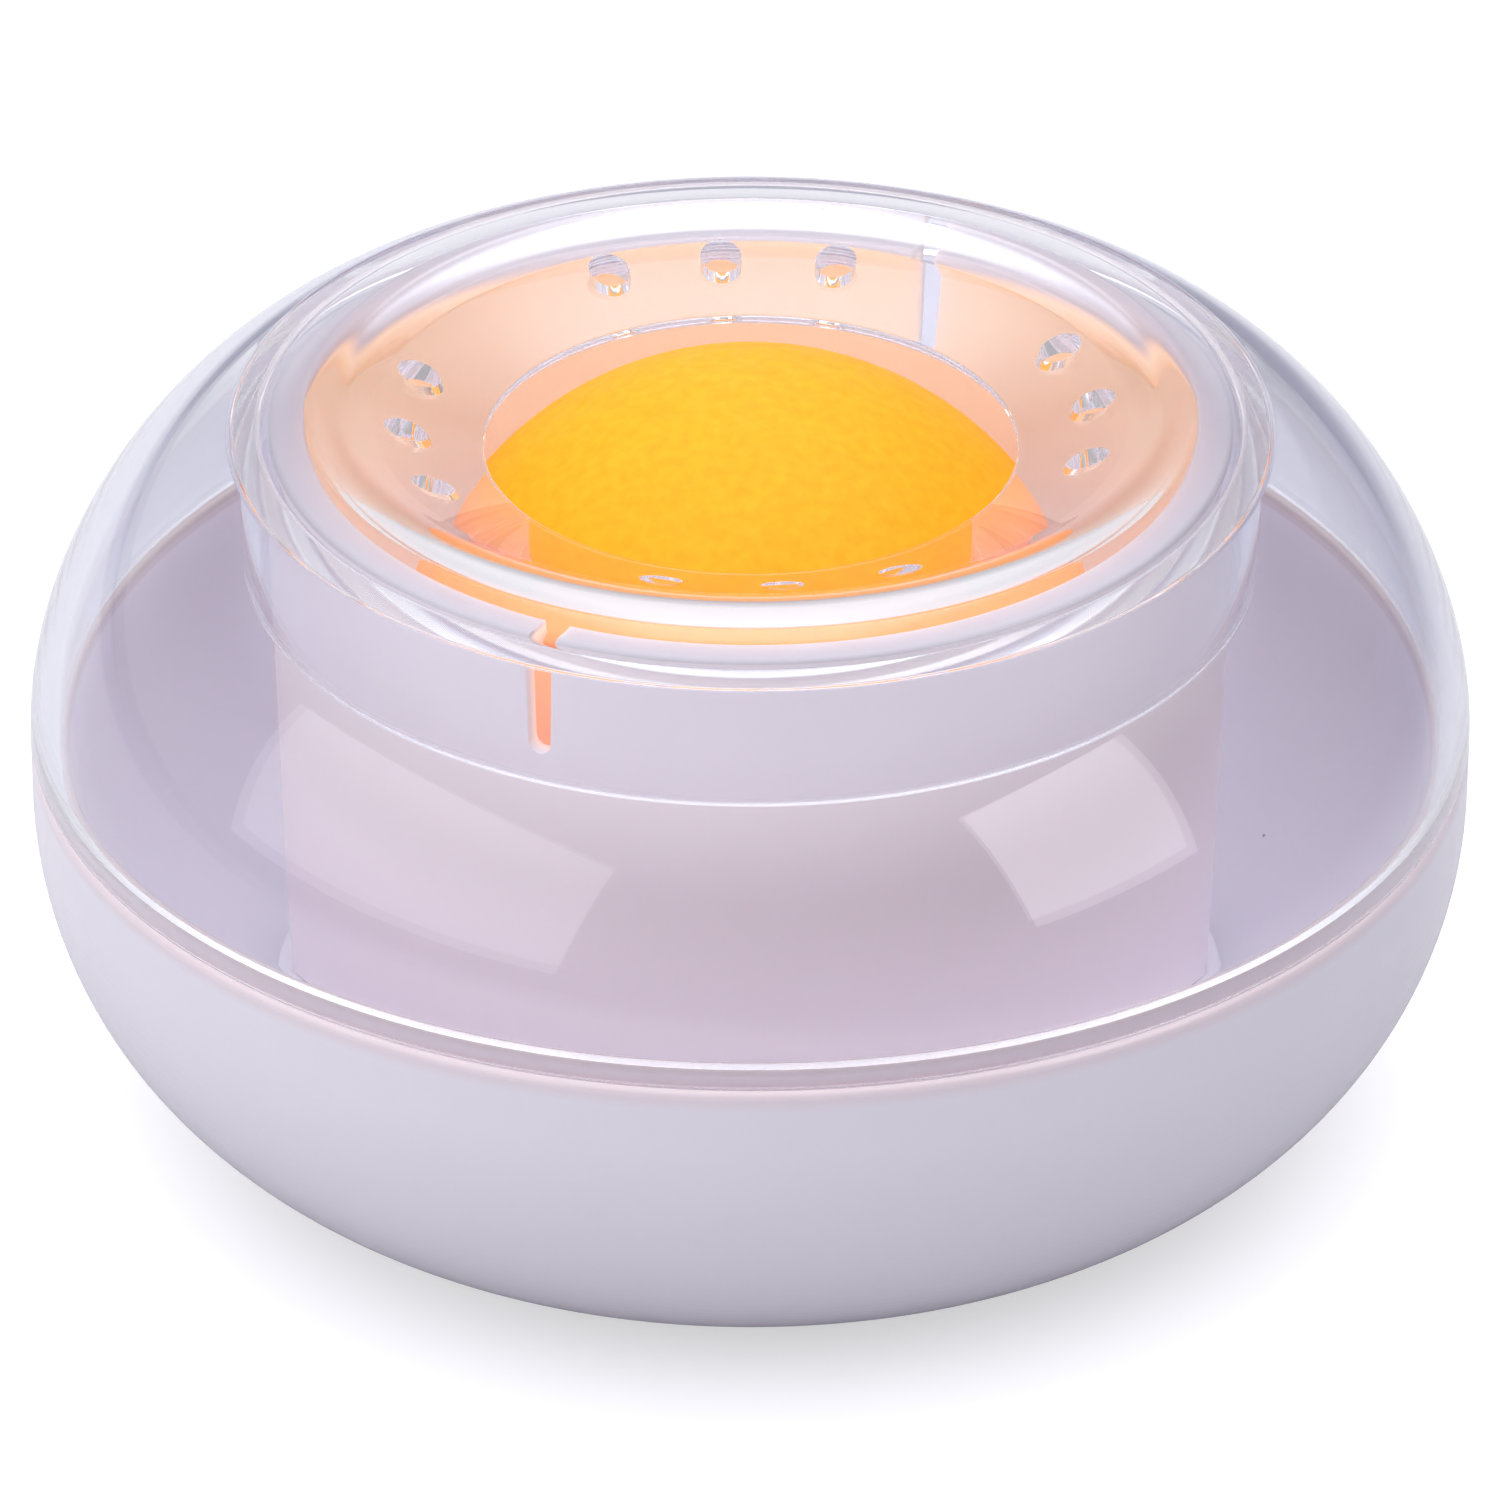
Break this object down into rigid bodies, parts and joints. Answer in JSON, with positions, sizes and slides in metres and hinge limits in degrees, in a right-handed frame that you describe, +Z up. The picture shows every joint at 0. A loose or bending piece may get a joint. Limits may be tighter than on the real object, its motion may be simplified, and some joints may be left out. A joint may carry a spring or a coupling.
{
  "type": "finger moistener",
  "caption": "Round desk finger moistener: a white bowl with a water cup, a loose hollow roller ball and a clear lift-off domed cover with a dished mouth and drain holes.",
  "frame": {"origin": "centre of the flat foot on the desk", "axes": "+Z up along the axis of the body, -Y towards the viewer of the picture, +X to the right in the picture"},
  "size_m": [0.082, 0.082, 0.0451],
  "materials": {
    "bowl_white": "gloss",
    "cup_white": "satin",
    "cover_clear": "clear gloss",
    "ball_orange": "matte"
  },
  "bodies": {
    "base": {"base_bowl": "bowl_white", "water_cup": "cup_white"},
    "cover": {"clear_cover": "cover_clear"},
    "ball": {"ball_upper_half": "ball_orange", "ball_lower_half": "ball_orange"}
  },
  "joints": [
    {"name": "cover_lift", "type": "slide", "parent": "base", "child": "cover", "axis": [0, 0, 1], "range_m": [0, 0.06]},
    {"name": "ball_roll", "type": "hinge", "parent": "base", "child": "ball", "pos_m": [0, 0, 0.02509], "axis": [1, 0, 0], "continuous": true}
  ]
}
